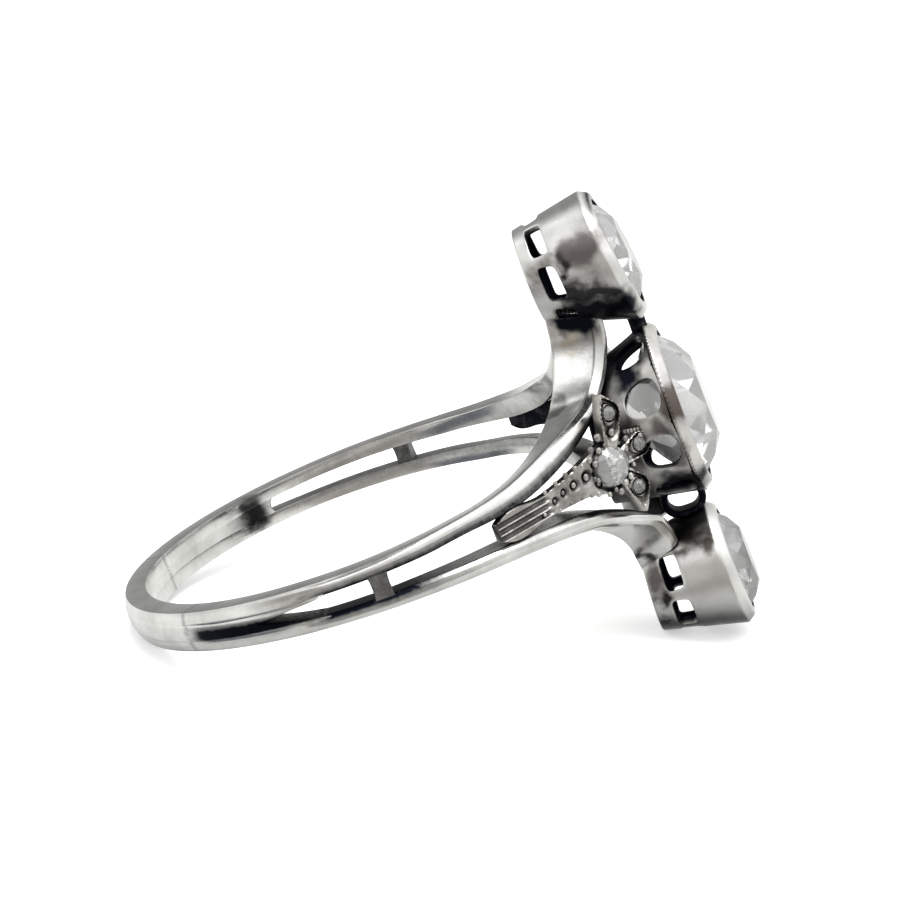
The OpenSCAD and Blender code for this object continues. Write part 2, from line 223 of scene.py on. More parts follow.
def pierced_band(c):
    """The pierced part of a collet's wall, as equal cells round it. In a cell, rings of points run from
    its four edges in over the face to the opening, through the wall, and back inside. An opening is
    a square whose sides bulge, with the power that squareness gives, and narrows towards its foot."""
    side = np.linspace(-1, 1, CELL_SIDE, endpoint=False)
    one = np.ones(CELL_SIDE)
    square = np.array([np.r_[side, one, -side, -one], np.r_[-one, side, one, -side]])
    bulge = (np.abs(square) ** c["squareness"]).sum(axis=0) ** (1 / c["squareness"])
    across, upward = square / bulge
    soft = BEVEL * 0.3
    ring = np.array([[0, BEVEL, 0], [0.5, BEVEL, 0], [1, BEVEL, 0], [1, soft, soft], [1, 0, BEVEL],
                     [1, 0, WALL - BEVEL], [1, soft, WALL - soft], [1, BEVEL, WALL],
                     [0.5, BEVEL, WALL], [0, BEVEL, WALL]])
    share, grown, inside = (column[:, None] for column in ring.T)
    opening_w, opening_h = c["opening"]
    middle = c["base"] + opening_h / 2
    height = middle + (1 - share) * square[1] * (opening_h / 2 + c["margin"]) \
        + share * upward * (opening_h / 2 + grown)
    half_w = opening_w / 2 * (c["narrow"] + (1 - c["narrow"]) * (upward + 1) / 2) + grown
    tall = c["rim"][0] - c["foot"][0]
    radius = (c["foot_d"] + height / tall * (c["rim_d"] - c["foot_d"])) / 2 - inside
    half_cell = np.pi / c["count"]
    angle = (1 - share) * square[0] * half_cell + share * across * half_w / radius
    return [skin(collet_point(c, np.radians(c["turn"]) + (2 * k + 1) * half_cell + angle, height, inside))
            for k in range(c["count"])]


def crown_half(c, height):
    """Half the width of a collet's stone at a height above its girdle, up to where its crown bends."""
    stone_r = c["rim_d"] / 2 - WALL - STONE_GAP
    return stone_r * (1 - (1 - CROWN_BEND[1]) * height / (CROWN_BEND[0] * c["crown"]))


def collet(c):
    """A whole collet: its pierced band, the foot ring below, and the wall above with its rubbed-over lip,
    each a profile of height and depth carried round the axis."""
    tall = c["rim"][0] - c["foot"][0]
    low = c["base"] - c["margin"]
    high = c["base"] + c["opening"][1] + c["margin"]
    lip_inside = c["rim_d"] / 2 - crown_half(c, LIP[0]) - STONE_GAP / 2
    foot = rounded([(low, WALL), (0, WALL), (0, 0), (low, 0)], FOOT_ROUNDING, 5, closed=False)
    wall = rounded([(high, 0), (tall, 0), (tall + LIP[0], LIP[1]), (tall + LIP[0] + LIP_EDGE, lip_inside),
                    (tall, WALL), (high, WALL)], LIP_ROUNDING, 6, closed=False)
    angle = np.radians(c["turn"]) + turns(2 * c["count"] * CELL_SIDE)
    bands = [skin(collet_point(c, angle[None], part[:, :1], part[:, 1:])) for part in (foot, wall)]
    return welded(pierced_band(c) + bands)


def depth_in(points, c):
    """How deep points lie below a collet's outer face, how far up its wall, which is 0 at the foot and
    1 at the rim, and the place on its axis beside each."""
    foot, rim = (np.array([c[end][0], 0, c[end][1]]) for end in ("foot", "rim"))
    share = (points - foot) @ (rim - foot) / ((rim - foot) @ (rim - foot))
    middle = foot + share[..., None] * (rim - foot)
    reach = np.linalg.norm(points - middle, axis=-1)
    return (c["foot_d"] + share * (c["rim_d"] - c["foot_d"])) / 2 - reach, share, middle


def collet_shade(points, c):
    """A collet's painted shade: dark below its outer face, on the inside of the wall and in its windows,
    but none on the rubbed-over lip.
    """
    depth, share, _ = depth_in(points, c)
    return between(depth, *WALL_SHADE) * between(share, *UNSHADED_LIP)


def material_of(name, values):
    """A new material with its node tree and its shader, on which the values are set."""
    material = bpy.data.materials.new(name)
    material.use_nodes = True
    tree = material.node_tree
    shader = tree.nodes["Principled BSDF"]
    for socket, value in values.items():
        shader.inputs[socket].default_value = value
    return material, tree, shader


def wired(tree, kind, inputs=None, output=None, **settings):
    """The output of a new shader node, or the first in use if none is named. Each of its inputs is
    given a value or another node's output, after its settings are made."""
    added = tree.nodes.new("ShaderNode" + kind)
    for name, value in settings.items():
        setattr(added, name, value)
    for name, value in (inputs or {}).items():
        if isinstance(value, bpy.types.NodeSocket):
            tree.links.new(value, added.inputs[name])
        else:
            added.inputs[name].default_value = value
    return added.outputs[output] if output else next(out for out in added.outputs if out.enabled)


def blended(tree, share, first, second):
    """A colour that lies at a share of the way from one to another."""
    return wired(tree, "Mix", {"Factor": share, "A": first, "B": second}, data_type="RGBA")


def soft_step(tree, value, start, end):
    """A number that grows smoothly from 0, where the value is at the start, to 1 at the end."""
    return wired(tree, "MapRange", {"Value": value, "From Min": start, "From Max": end},
                 interpolation_type="SMOOTHSTEP")


def platinum(name, stains=(), polish=(0.16, 0.34), tones=None, hidden=(0.3, 0.78)):
    """Old platinum: a metal whose tone drifts in soft clouds, with fine scratches in its polish. It is
    painted navy black where its per-point value says so, and painted shade darkens it where the
    ambient occlusion finds it hard to reach. Each stain is a soft ragged spot: its middle, its radius
    in millimetres, and its own colour; some stains are painted shade. Polish is the roughness where
    it is least and most worn. The tones are the metal's lightest and darkest. Hidden is how open a
    place is to the air where the wide painted shade is full, and where it ends."""
    material, tree, shader = material_of(name, {"Metallic": 1})
    light, dark = tones or (BRIGHT, GREY)
    spot = wired(tree, "TexCoord", output="Object")
    clouds = wired(tree, "TexNoise", {"Vector": spot, "Scale": 620, "Detail": 4, "Roughness": 0.6})
    tone = wired(tree, "MapRange", {"Value": clouds, "From Min": 0.35, "From Max": 0.7})
    shade = blended(tree, tone, light, dark)
    ragged = wired(tree, "TexNoise", {"Vector": spot, "Scale": 2300, "Detail": 4, "Roughness": 0.75})
    bends = wired(tree, "TexNoise", {"Vector": spot, "Scale": 1000, "Detail": 2}, output="Color")
    bends = wired(tree, "VectorMath", {0: bends, 1: (0.5, 0.5, 0.5)}, operation="SUBTRACT")
    bent = wired(tree, "VectorMath", {0: bends, 1: (STAIN_BEND,) * 3, 2: spot}, operation="MULTIPLY_ADD")
    for middle, radius, stain in stains:
        distance = wired(tree, "VectorMath", {0: bent, 1: placed(middle)}, operation="DISTANCE")
        edge = wired(tree, "Math", {0: ragged, 1: STAIN_RAGS, 2: distance}, operation="MULTIPLY_ADD")
        clear, full = (radius * share + rags for share, rags in STAIN_EDGE)
        shade = blended(tree, soft_step(tree, edge, clear, full), shade, stain)
    grime_and_shade = wired(tree, "Attribute", output="Fac", attribute_name="grime_and_shade")
    grime_and_shade = wired(tree, "Math", {0: ragged, 1: 0.5, 2: grime_and_shade}, operation="MULTIPLY_ADD")
    grime_and_shade = wired(tree, "MapRange", {"Value": grime_and_shade, "From Min": 0.35, "From Max": 1.15})
    shade = blended(tree, grime_and_shade, shade, NAVY_SHADE_AND_DIRT)
    # Painted shade: the colour turns navy black where little of the air around it is open.
    for distance, (closed, clear) in ((WIDE_SHADE_REACH, hidden), (FINE_SHADE_REACH, FINE_HIDDEN)):
        openness = wired(tree, "AmbientOcclusion", {"Distance": distance}, output="AO", samples=6)
        shade = blended(tree, soft_step(tree, openness, closed, clear), NAVY_SHADE_AND_DIRT, shade)
    tree.links.new(shade, shader.inputs["Base Color"])
    wear = wired(tree, "TexNoise", {"Vector": spot, "Scale": 1900, "Detail": 5, "Roughness": 0.7})
    gloss = wired(tree, "MapRange", {"Value": wear, "From Min": 0.3, "From Max": 0.75,
                                     "To Min": polish[0], "To Max": polish[1]})
    dull = wired(tree, "Math", {0: grime_and_shade, 1: 0.3, 2: gloss}, operation="MULTIPLY_ADD")
    tree.links.new(dull, shader.inputs["Roughness"])
    stretched = wired(tree, "Mapping", {"Vector": spot, "Rotation": (0.4, 0.2, 0.7), "Scale": (1, 7, 2)})
    scratches = wired(tree, "TexNoise", {"Vector": stretched, "Scale": 5200, "Detail": 4})
    relief = wired(tree, "Bump", {"Height": scratches, "Strength": 0.2, "Distance": 0.00001})
    tree.links.new(relief, shader.inputs["Normal"])
    return material


# The navy patches on the top collet's side towards the centre collet, and the dark patches beside them, are
# painted shade.
collet_finish = platinum("rubbed_platinum", [
    ((11.7, -2.3, 7.75), 0.85, MAUVE), ((10.9, -2.2, 7.6), 0.6, MAUVE),
    ((10.75, -2.2, 7.35), 0.33, DARK_PATCH), ((9.9, -1.9, 7.3), 0.5, MAUVE),
    ((10.6, -2.2, 6.95), 0.3, DARK_PATCH), ((11.5, -2.36, 6.15), 0.6, DARK_PATCH),
    ((10.8, -2.15, 6.05), 0.62, DARK_PATCH), ((12, -2.4, 5.9), 0.55, DARK_PATCH),
    ((11.2, -1.7, 5), 1.05, NAVY_SHADE_AND_DIRT), ((12.2, -2, 5), 0.8, NAVY_SHADE_AND_DIRT),
    ((10.4, -1.7, 5.3), 0.7, NAVY_SHADE_AND_DIRT), ((11.5, -1.2, -4.1), 0.7, BROWN),
    ((12.2, -1.8, -4.4), 0.5, BROWN), ((11.2, -1.7, -4.7), 0.35, MAUVE),
    ((9.95, -1.8, -5.25), 0.5, MAUVE), ((10, -1.95, -5.95), 0.42, DARK_PATCH),
    ((9.9, -1.6, -6.6), 0.3, MAUVE), ((9.9, -1.4, -7.05), 0.35, DARK_PATCH)], polish=(0.26, 0.42))
for name, c in (("top_collet", TOP_COLLET), ("low_collet", LOW_COLLET)):
    body = collet(c)
    made(name, [body], collet_finish, ["mount"], grime_and_shade=collet_shade(body[0], c))

# Centre collet
# The larger middle collet is a plain cup below and an open gallery of egg-shaped arches above, sawn
# out of one tapered wall. A row of fine grains was cut where the arches meet the rim.
CENTRE_COLLET = dict(foot=(9.5, 0.1), foot_d=4.9, foot_lean=-3, rim=(12.7, 0.47), rim_d=6.7,
                     rim_lean=2, base=1.6, opening=(1.55, 1.4), margin=0.12, narrow=0.72,
                     squareness=2.5, count=9, turn=3, crown=1.2)
CUP_SHADE = (0.42, 0.345)
CUP_DARK = 0.75
MILGRAIN = 110
MILGRAIN_R = 0.055
GRAIN_SIDES = (8, 6)
GRAIN_TILT = (-0.35, 0.47)
GRAIN_FLAT = 0.5
GRAIN_ASIDE = (0.31, 0.22, 0.93)


def unit(ways):
    """The same directions, each with a length of 1."""
    return ways / np.linalg.norm(ways, axis=-1, keepdims=True)


def grains(middles, radii, facing):
    """Round grains of metal pushed up by a graver: low domes on the given middles, each made of rings
    that shrink to its top, and squashed along the way that it faces."""
    facing = unit(np.broadcast_to(facing, middles.shape))
    aside = unit(np.cross(facing, GRAIN_ASIDE))
    third = np.cross(facing, aside)
    facing, aside, third = (way[:, None, None] for way in (facing, aside, third))
    turn = turns(GRAIN_SIDES[0])[:, None]
    tilt = np.linspace(*GRAIN_TILT, GRAIN_SIDES[1])[:, None, None] * np.pi
    flat = np.cos(tilt) * (np.cos(turn) * aside + np.sin(turn) * third)
    high = np.sin(tilt) * facing * GRAIN_FLAT
    radii = np.broadcast_to(radii, len(middles))[:, None, None, None]
    return [skin(grid, capped=True) for grid in middles[:, None, None] + radii * (flat + high)]


tall = CENTRE_COLLET["rim"][0] - CENTRE_COLLET["foot"][0]
grain_row = collet_point(CENTRE_COLLET, turns(MILGRAIN), tall - 0.02, -0.01)
grain_way = grain_row - collet_point(CENTRE_COLLET, turns(MILGRAIN), tall, 0.5)
# The navy patches at the centre collet's two ends along the finger are painted shade.
centre_finish = platinum("gallery_platinum", [
    ((12.4, -3.1, -0.6), 0.5, MAUVE),
    ((12.8, -3, 1.4), 0.7, BROWN), ((12.1, -2.8, 0.5), 0.5, MAUVE), ((12.3, -2.4, -2), 1, NAVY_SHADE_AND_DIRT),
    ((12.1, -1.4, 3.1), 0.55, NAVY_SHADE_AND_DIRT), ((11.4, -1.9, 2.6), 0.8, NAVY_SHADE_AND_DIRT)], polish=(0.24, 0.4),
    tones=((0.74, 0.73, 0.7, 1), (0.42, 0.41, 0.4, 1)))
body = collet(CENTRE_COLLET)
# The plain cup below the arches is painted dark: painted shade.
cup = CUP_DARK * between(depth_in(body[0], CENTRE_COLLET)[1], *CUP_SHADE)
row = grains(grain_row, MILGRAIN_R, grain_way)
made("centre_collet", [body] + row, centre_finish, ["mount"],
     grime_and_shade=np.r_[np.maximum(cup, collet_shade(body[0], CENTRE_COLLET)), np.zeros(len(row) * len(row[0][0]))])

# Wires and closed back
# Two wires of half-round section make the band. They lie side by side round the back of the finger,
# where the slot between them is filled in, spread apart on the shoulders, and rise to the two end
# collets, to which they are soldered. A short cross bar ties them on each side.
WIRE_RINGS = 340
# The corners of a section are shares of the wire's depth outwards and of its thickness.
WIRE_SECTION = [[0, 0], [0.8, 0], [0.94, 0.2], [1, 0.5], [0.94, 0.8], [0.8, 1], [0, 1]]
BACK_SECTION = [[0, 0], [0.81, 0], [0.875, 0.2], [0.924, 0.5], [0.952, 0.75], [0.973, 1], [0, 1]]
WIRE_ROUNDING, BACK_ROUNDING = 0.06, 0.015
# Angles are in degrees from the head round by the near side. The far side rises between the two
# LIFT_ANGLES, and the slot between the wires closes over FILL_STARTS and opens over FILL_STOPS.
LIFT_ANGLES = (62, 24)
SLOT_ENDS = (107.5, 240)
FILL_STARTS = (SLOT_ENDS[0] - 14, SLOT_ENDS[0] - 8)
FILL_STOPS = (SLOT_ENDS[1] + 8, SLOT_ENDS[1])
SLOT_HALF = 0.36
SLOT_POINT = 2.6
WEB_HALF = 0.44
WEB_INSET = 0.004
WEB_SIDES = (0.22, 0.42)
WEB_SIDE_SUNK = 0.05
BACK_DOME = 6
BARS = (81, 277.3)
BAR_L = 0.7
BAR_HALF = 0.5
BAR_WAIST = 0.12
BAR_DIRT = 0.7
SEAMS = np.array([130, 194.6])
SEAM_HALF = 0.8
SEAM_DIRT = 0.45
# Painted shade on the wires' sides that face the slot and along the upper wire's bevel, and a painted dark
# reflection along the closed back.
SLOT_SHADE_GROWS = 20
SLOT_SHADE_LEAST = 0.15
FOLD_SHADE = (0.32, 0.7)
FOLD_FADE = (60, 45)
BACK_MARK_AT, BACK_MARK_HALF = -0.1, 0.29
BACK_MARK_FADE = (129, 126)
# A row holds: angle from the head, gap from the finger, height above the band's side, depth
# outwards in band thicknesses, height of the outer edge above the inner one, thickness.
UPPER_WIRE = np.array([
    [180, 0, 0, 1, 0, 0.55], [150, 0, 0, 1, 0, 0.55], [125, 0, 0.03, 1, 0, 0.5],
    [105, 0, 0.09, 1, 0, 0.5], [95, 0, 0.13, 1, 0, 0.52], [82, 0, 0.17, 1, 0.02, 0.55],
    [70, 0, 0.23, 1, 0.06, 0.6], [60, 0, 0.29, 1.02, 0.12, 0.62], [52, 0, 0.33, 1.05, 0.18, 0.72],
    [45, 0, 0.42, 1.1, 0.22, 0.82], [38, 0, 0.58, 1.2, 0.3, 0.88], [31, 0, 0.81, 1.4, 0.34, 0.9],
    [25, 0, 1.03, 1.6, 0.3, 0.84], [19, 0.05, 1.3, 1.8, 0.2, 0.74], [14, 0.2, 1.7, 1.85, 0, 0.62],
    [10.5, 0.45, 2.35, 1.85, -0.3, 0.58], [8, 0.6, 3, 1.95, -0.4, 0.55],
    [6.5, 0.7, 3.6, 2.05, -0.4, 0.55], [6, 0.8, 4.6, 2.05, -0.2, 0.55]])
LOWER_WIRE = np.array([
    [180, 0, 0, 1, 0, 0.55], [150, 0, 0, 1, 0, 0.55], [125, 0, 0.02, 1, 0, 0.5],
    [105, 0, 0.06, 1, 0, 0.5], [95, 0, 0.1, 1, 0, 0.52], [82, 0, 0.15, 1, 0.02, 0.55],
    [70, 0, 0.21, 1, 0.05, 0.6], [60, 0, 0.27, 1.02, 0.1, 0.62], [52, 0, 0.33, 1.05, 0.15, 0.64],
    [45, 0, 0.42, 1.1, 0.2, 0.66], [38, 0, 0.55, 1.18, 0.25, 0.68], [31, 0.05, 0.75, 1.3, 0.28, 0.7],
    [25, 0.15, 1.05, 1.4, 0.25, 0.7], [20, 0.45, 1.5, 1.4, 0.1, 0.68],
    [17.5, 0.8, 1.85, 1.4, -0.1, 0.65], [15, 1.1, 2.35, 1.45, -0.4, 0.6],
    [12, 1.2, 3, 1.6, -0.7, 0.58], [9.5, 1.15, 3.6, 1.7, -0.75, 0.55], [8, 1.15, 4.1, 1.7, -0.6, 0.55]])


def circled(middle, reach, turn, height):
    """Points round a middle, each at a reach and an angle from it and at a height."""
    return np.stack(np.broadcast_arrays(middle[0] + reach * np.cos(turn), middle[1] + reach * np.sin(turn),
                                        height), -1)


def round_finger(angle, radius, height):
    """Points round the finger: the angle is counted from the head towards the near side."""
    return circled((0, 0), radius, -np.radians(angle), height)


def spots_along(line):
    """How far along a line each of its points lies."""
    return np.r_[0, np.cumsum(np.linalg.norm(np.diff(line, axis=0), axis=1))]


def drawn_out(rows, spots, count):
    """Rows of numbers drawn out to more of them: a cubic between each two, whose slope at a row is that
    of the parabola through it and its neighbours. The spots say how far along each row lies."""
    slope = np.gradient(rows, spots, axis=0)
    place = np.linspace(spots[0], spots[-1], count)
    i = np.clip(np.searchsorted(spots, place, side="right") - 1, 0, len(spots) - 2)
    gap = (spots[i + 1] - spots[i])[:, None]
    t = (place - spots[i])[:, None] / gap
    return ((2 * t**3 - 3 * t**2 + 1) * rows[i] + (t**3 - 2 * t**2 + t) * gap * slope[i]
            + (3 * t**2 - 2 * t**3) * rows[i + 1] + (t**3 - t**2) * gap * slope[i + 1])


def wire_edges(rows):
    """The inner and the outer edge of a wire's face that looks away from the other wire."""
    inner = round_finger(rows[:, 0], FINGER_R + rows[:, 1], BAND_HALF + rows[:, 2])
    outer = round_finger(rows[:, 0], FINGER_R + rows[:, 1] + rows[:, 3] * BAND_T,
                         BAND_HALF + rows[:, 2] + rows[:, 4])
    return inner, outer


def filled(angle):
    """How much of the slot between the wires is filled in at an angle: 0 where it is open, 1 round
    the closed back."""
    return between(angle, *FILL_STARTS) * between(angle, *FILL_STOPS)


def kept_out(points, c):
    """Points that would reach into a collet's hollow, moved out from its axis to the middle of its wall."""
    depth, share, middle = depth_in(points, c)
    reach = np.linalg.norm(points - middle, axis=-1)
    inside = (depth > WALL / 2) & (share > -0.1) & (share < 1.1)
    grown = np.where(inside, (reach + depth - WALL / 2) / reach, 1)
    return middle + (points - middle) * grown[..., None]


def wire(table, rise, c):
    """One wire from the far side of the head round the back to the near side: its section is carried
    along the two edges of its outer face, and its thickness lies square to that face. Rise is 1 for
    the upper wire, and -1 for the lower one, which is the same upside down."""
    near, far = table.copy(), table[:0:-1].copy()
    far[:, 2] += rise * FAR_LIFT * between(far[:, 0], *LIFT_ANGLES)
    far[:, 0] = 360 - far[:, 0]
    rows = np.concatenate([far, near])
    rows = drawn_out(rows, spots_along(sum(wire_edges(rows)) / 2), WIRE_RINGS)
    inner, outer = wire_edges(rows)
    out = outer - inner
    thick = rows[:, 5:] * unit(np.cross(np.gradient(inner, axis=0), out))
    alone, back = rounded(WIRE_SECTION, WIRE_ROUNDING), rounded(BACK_SECTION, BACK_ROUNDING)
    section = alone + filled(rows[:, 0])[:, None, None] * (back - alone)
    points = inner[:, None] + section[..., :1] * out[:, None] + section[..., 1:] * thick[:, None]
    points[..., 2] *= rise
    return skin(kept_out(points, c), capped=True)


def closed_back():
    """The filled-in back between the wires: a strip bent round the finger, slightly domed and sunk a
    little where it meets them. Its near end runs out along the wires, so that the slot comes to a
    point, and its far end is hollowed round."""
    across = np.linspace(-WEB_HALF, WEB_HALF, 25)
    edge = np.minimum(np.abs(across) / SLOT_HALF, 1)
    pointed = SLOT_HALF - SLOT_POINT * edge**1.3
    rounded_off = SLOT_HALF * np.sqrt(1 - edge**2)
    first = SLOT_ENDS[0] + np.degrees(pointed / (FINGER_R + BAND_T / 2))
    last = SLOT_ENDS[1] - np.degrees(rounded_off / (FINGER_R + BAND_T / 2))
    along = np.r_[0, 0.001, np.linspace(0.01, 0.99, 90), 0.999, 1][:, None]
    worn = np.full((len(along), 1), WEB_INSET)
    worn[[0, -1]] = 0.02
    angle = first + (last - first) * along
    sunk = WEB_SIDE_SUNK * between(np.abs(across), *WEB_SIDES) ** 2
    outer = round_finger(angle, FINGER_R + BAND_T - worn - sunk - across**2 / BACK_DOME, across)
    inner = round_finger(angle, FINGER_R + worn, across)
    return skin(np.concatenate([outer, inner[:, ::-1]], axis=1), capped=True)


def cross_bar(angle):
    """A short bar between the wires: a rounded block that narrows a little half way."""
    half = np.degrees(BAR_L / 2 / FINGER_R)
    outline = rounded([(-half, 0.1), (half, 0.1), (half, 0.9), (-half, 0.9)], 0.25, 5)
    across = np.linspace(-BAR_HALF, BAR_HALF, 13)[:, None]
    waist = 1 - BAR_WAIST * np.cos(across * np.pi)
    return skin(round_finger(angle + outline[:, 0] * waist, FINGER_R + outline[:, 1] * BAND_T, across),
                capped=True)


def angle_of(points):
    """The angle of points round the finger in degrees: 0 at the head, and over 0 on the near side."""
    return np.degrees(np.arctan2(-points[:, 1], points[:, 0]))


def sizing_seams(points):
    """The grime in thin lines where the band was cut and soldered to fit a finger."""
    apart = angle_of(points)[:, None] % 360 - SEAMS
    return SEAM_DIRT * np.exp(-(apart / SEAM_HALF) ** 2).sum(axis=1) * (points[:, 0] < 0)


def slot_shade(points, start, full, near, far, shaded_from):
    """Painted shade on a wire's side that looks at the slot between the wires. It grows over the section
    between two shares of the thickness, to one depth on the near side and another on the far one, and
    is thin on the near side up to an angle from the head. There is none where the slot is filled in."""
    angle = angle_of(points)
    over_section = np.tile(between(rounded(WIRE_SECTION, WIRE_ROUNDING)[:, 1], start, full), WIRE_RINGS)
    along = np.maximum(between(angle, shaded_from, shaded_from + SLOT_SHADE_GROWS), SLOT_SHADE_LEAST)
    return over_section * np.where(angle > 0, near * along, far) * (1 - filled(angle % 360))


def fold_shade(points):
    """Painted shade along one rounded edge of the upper wire, on the near side from the shoulder on."""
    fold = np.zeros(len(rounded(WIRE_SECTION, WIRE_ROUNDING)))
    fold[4:6] = FOLD_SHADE
    angle = angle_of(points)
    return np.tile(fold, WIRE_RINGS) * between(angle, *FOLD_FADE) * (angle > 0)


def back_reflection(points):
    """A painted dark reflection on the outer face of the closed back: a long stripe from the near end of
    the slot to where it fades out."""
    angle = angle_of(points)
    outer = np.hypot(points[:, 0], points[:, 1]) > FINGER_R + BAND_T / 2
    across = np.exp(-((points[:, 2] - BACK_MARK_AT) / BACK_MARK_HALF) ** 4)
    return between(angle, *BACK_MARK_FADE) * (angle > 0) * across * outer


# The two grey patches on the upper wire's top near the shoulder are painted shade over a reflection.
wire_finish = platinum("drawn_platinum", [
    ((-5.2, 6.73, 0), 0.75, DARK_PATCH), ((10.55, -1.1, 4.85), 0.72, NAVY_SHADE_AND_DIRT),
    ((9.95, -1.1, 5), 0.62, NAVY_SHADE_AND_DIRT), ((9.62, -1.1, 4.28), 0.34, SOLDER),
    ((9.95, -1.1, 4.22), 0.3, SOLDER), ((8.8, -2.1, 2.56), 0.42, PAINTED_SHADE_GREY),
    ((8.4, -2.45, 2.3), 0.42, PAINTED_SHADE_GREY), ((9.9, -1.5, -4.5), 0.42, DARK_PATCH),
    ((9.6, -1.85, -4.1), 0.3, DARK_PATCH)], polish=(0.12, 0.26), hidden=(0.2, 0.6))
upper, lower = wire(UPPER_WIRE, 1, TOP_COLLET), wire(LOWER_WIRE, -1, LOW_COLLET)
upper_shade = slot_shade(upper[0], start=0.3, full=0.7, near=0.8, far=0.3, shaded_from=-40)
upper_shade = np.maximum(upper_shade, fold_shade(upper[0]))
lower_shade = slot_shade(lower[0], start=0.25, full=0.8, near=0.95, far=0.5, shaded_from=56)
for name, body, dark in (("upper_wire", upper, upper_shade), ("lower_wire", lower, lower_shade)):
    made(name, [body], wire_finish, ["mount"], crease=24, grime_and_shade=np.maximum(dark, sizing_seams(body[0])))
back, bars = closed_back(), [cross_bar(angle) for angle in BARS]
bar_dirt = np.full(sum(len(points) for points, _ in bars), BAR_DIRT)
made("closed_back", [back] + bars, wire_finish, ["mount"],
     grime_and_shade=np.r_[np.maximum(back_reflection(back[0]), sizing_seams(back[0])), bar_dirt])

# Links between the collets
# A short pin stands between the centre collet and the top one, and a loop of thick wire between the
# centre collet and the low one. Both are platinum, soldered at both ends and left rough.
PIN_OUT = 12.4
PIN_ENDS = (3.5, 4.25)
PIN_D = 0.64
PIN_FLARE = 0.1
LOOP_MIDDLE = (11.85, -2.98)
LOOP_STRETCH = 0.3
LOOP_OUTER_D = 1.45
LOOP_INNER_D = 0.9
LOOP_T = 0.9
LINK_SHADE = 0.9


def pin():
    """A round pin along the finger, a little thicker at its two soldered ends."""
    share = np.linspace(0, 1, 13)[:, None]
    radius = PIN_D / 2 * (1 + PIN_FLARE * (2 * share - 1) ** 4)
    height = PIN_ENDS[0] + share * (PIN_ENDS[1] - PIN_ENDS[0])
    return skin(circled((PIN_OUT, 0), radius, turns(24), height), capped=True)


def loop():
    """An oval ring of thick wire, seen from the side: a rounded section carried along an oval line."""
    turn = turns(64)[:, None]
    middle_r = (LOOP_OUTER_D + LOOP_INNER_D) / 4
    half_w, half_t = (LOOP_OUTER_D - LOOP_INNER_D) / 4, LOOP_T / 2
    section = rounded([(-half_w, -half_t), (half_w, -half_t), (half_w, half_t), (-half_w, half_t)],
                      0.12, 5)
    reach = middle_r + section[None, :, 0]
    stretch = LOOP_STRETCH / 2 * np.tanh(6 * np.cos(turn))
    points = circled(LOOP_MIDDLE, reach, turn, section[None, :, 1]) + stretch[..., None] * [1, 0, 0]
    return skin(points[..., [0, 2, 1]], closed_rows=True)


# Painted shade: the pin and the loop between the collets are painted dark all over.
made("collet_links", [pin(), loop()], centre_finish, ["mount"], grime_and_shade=LINK_SHADE)

# Shoulders
# Between the wires on each side lies a flat plate with a fluted tongue, a pavé of fine grains, a
# round setting and three leaves. It was sawn from platinum sheet, and its grains and bright edges
# were cut with a graver before the stones went in.
SHOULDER_ANGLE = 50
SHOULDER_R = 9.6
# The near plate is thin, so that the gap between it and the upper wire shows.
SHOULDER_T = {"near": 0.4, "far": 0.75}
TONGUE_HALF = 0.41
TONGUE_START = {"near": -0.45, "far": 0.3}
FLUTE_STEP = 0.25
FLUTE_HALF = 0.085
FLUTE_DEPTH = 0.12
FLUTE_END = 2.05
PIT_DEPTH = 0.16
MOAT_AT, MOAT_HALF, MOAT_SHARE = 0.12, 0.08, 0.9
ROUGH_SHARE = 0.12
EDGE_BEVEL = 0.04
PLATE_SHADE, SHADE_BY_DEPTH = 0.3, 3.5
EDGE_SHADE = (0, 0.1, 0.95, 0.95, 0.1, 0)
COLLAR_SHADE = 0.9
LEAF_SHADE = (0.1, 0.05, 0.6, 0.65, 0.25, 0.3)
ROSE_AT = np.array([5.1, 0.1])
ROSE_R = 0.75
SETTING_WALL = 0.22
CLAWS = 11
LEAF_STONE_R = 0.28
LEAF_EDGE = 0.46
LEAF_TIP_R = 0.08
LEAF_NECK_R = 0.35
LEAF_SIDES = 96
GRAIN_SWELL = 1.12
PIT_GRAIN_AT, PIT_GRAIN_SHARE = -0.12, 0.6
BEAD_STEP = 0.15
# All of these give places on the plate's face as the distance along it and along the finger. PLATE
# holds the plate's upper and lower edge at a distance, LEAVES each stone's middle and its leaf's tip,
# PITS and GRAIN_SPOTS a middle and a radius, and BEADS also the height of the line before the radius.
PLATE = np.array([[1.9, 0.43, -0.41], [2.8, 0.55, -0.44], [3.75, 0.75, -0.52], [4.4, 0.92, -0.72],
                  [4.95, 0.95, -0.8]])
LEAVES = {"up": (5.72, 1.9, 5.6, 2.6), "down": (5.9, -1.08, 5.85, -1.98), "in": (6.55, 0.34, 7.3, 0.44)}
BEADS = [(6.1, 1.0, -0.02, 0.09), (7.15, 0.72, -0.02, 0.075), (7.6, 0.62, -0.02, 0.09)]
PITS = np.array([[2.25, 0, 0.14], [2.7, 0.12, 0.15], [3.24, 0.17, 0.2], [3.88, 0.2, 0.24],
                 [4.3, -0.25, 0.17]])
